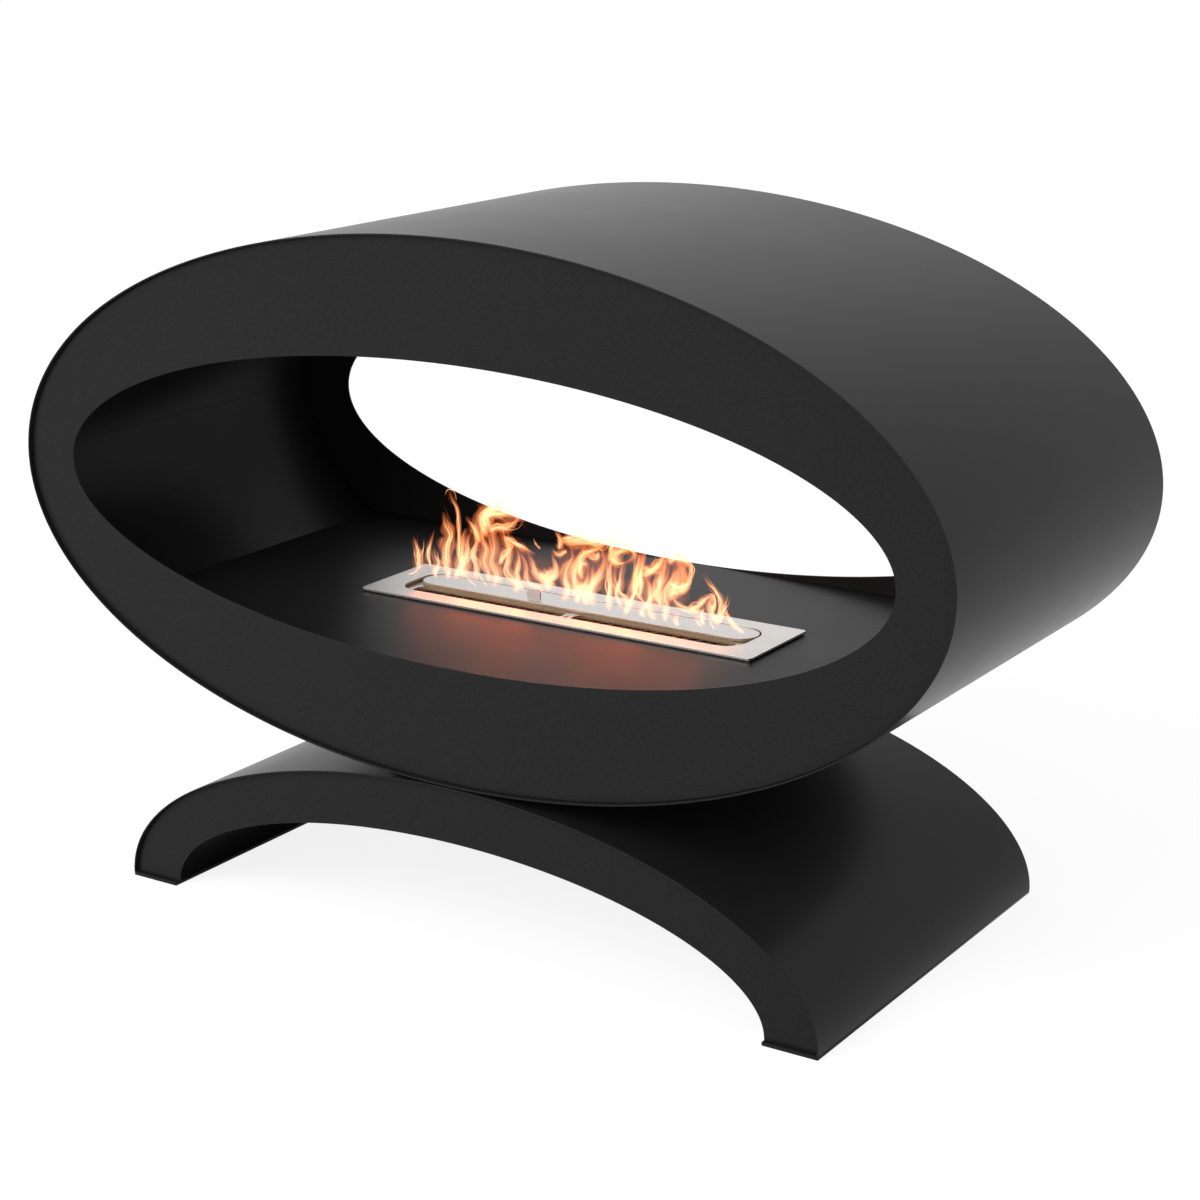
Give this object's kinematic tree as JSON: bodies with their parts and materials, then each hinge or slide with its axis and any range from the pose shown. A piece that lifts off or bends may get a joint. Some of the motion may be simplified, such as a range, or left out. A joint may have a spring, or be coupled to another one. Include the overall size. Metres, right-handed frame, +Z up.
{
  "type": "free-standing bioethanol fireplace",
  "caption": "Elliptical black steel hearth, open at the front and rear, on an arched hollow base, with a stainless bioethanol burner and its sliding shutter in the floor.",
  "frame": {"origin": "on the ground under the middle of the fireplace", "axes": "+Z up, front towards -Y, +X to the right seen from the front"},
  "size_m": [0.9, 0.4, 0.6044],
  "materials": {
    "coated_steel": "satin black powder coat",
    "stainless": "finely brushed stainless",
    "net_steel": "heat-tinted expanded stainless",
    "ceramic_wool": "matt fibre",
    "zinc_steel": "zinc plated",
    "fibre": "matt pressed fibre"
  },
  "bodies": {
    "hearth": {"shell_upper": "coated_steel", "shell_lower": "coated_steel", "front_face": "coated_steel", "rear_face": "coated_steel", "floor_plate": "coated_steel", "floor_bracket_left": "coated_steel", "floor_bracket_right": "coated_steel", "base_top_skin": "coated_steel", "base_underside_skin": "coated_steel", "base_front_plate": "coated_steel", "base_rear_plate": "coated_steel", "foot_plate_left": "coated_steel", "foot_plate_right": "coated_steel", "body_doubler_plate": "coated_steel", "base_nut_plate": "coated_steel", "saddle_rail_left": "coated_steel", "saddle_rail_right": "coated_steel", "joint_bolt_1": "zinc_steel", "joint_washer_1": "zinc_steel", "joint_nut_1": "zinc_steel", "joint_spacer_1": "fibre", "joint_bolt_2": "zinc_steel", "joint_washer_2": "zinc_steel", "joint_nut_2": "zinc_steel", "joint_spacer_2": "fibre", "joint_bolt_3": "zinc_steel", "joint_washer_3": "zinc_steel", "joint_nut_3": "zinc_steel", "joint_spacer_3": "fibre", "joint_bolt_4": "zinc_steel", "joint_washer_4": "zinc_steel", "joint_nut_4": "zinc_steel", "joint_spacer_4": "fibre"},
    "burner": {"burner_top_plate": "stainless", "burner_deck": "stainless", "burner_tank": "stainless", "burner_net": "net_steel", "burner_wool": "ceramic_wool"},
    "shutter": {"shutter_plate": "stainless", "shutter_lug": "stainless"}
  },
  "joints": [
    {"name": "burner_lift", "type": "slide", "parent": "hearth", "child": "burner", "axis": [0, 0, 1], "range_m": [0, 0.1]},
    {"name": "shutter_slide", "type": "slide", "parent": "burner", "child": "shutter", "axis": [0, -1, 0], "range_m": [0, 0.025]}
  ]
}
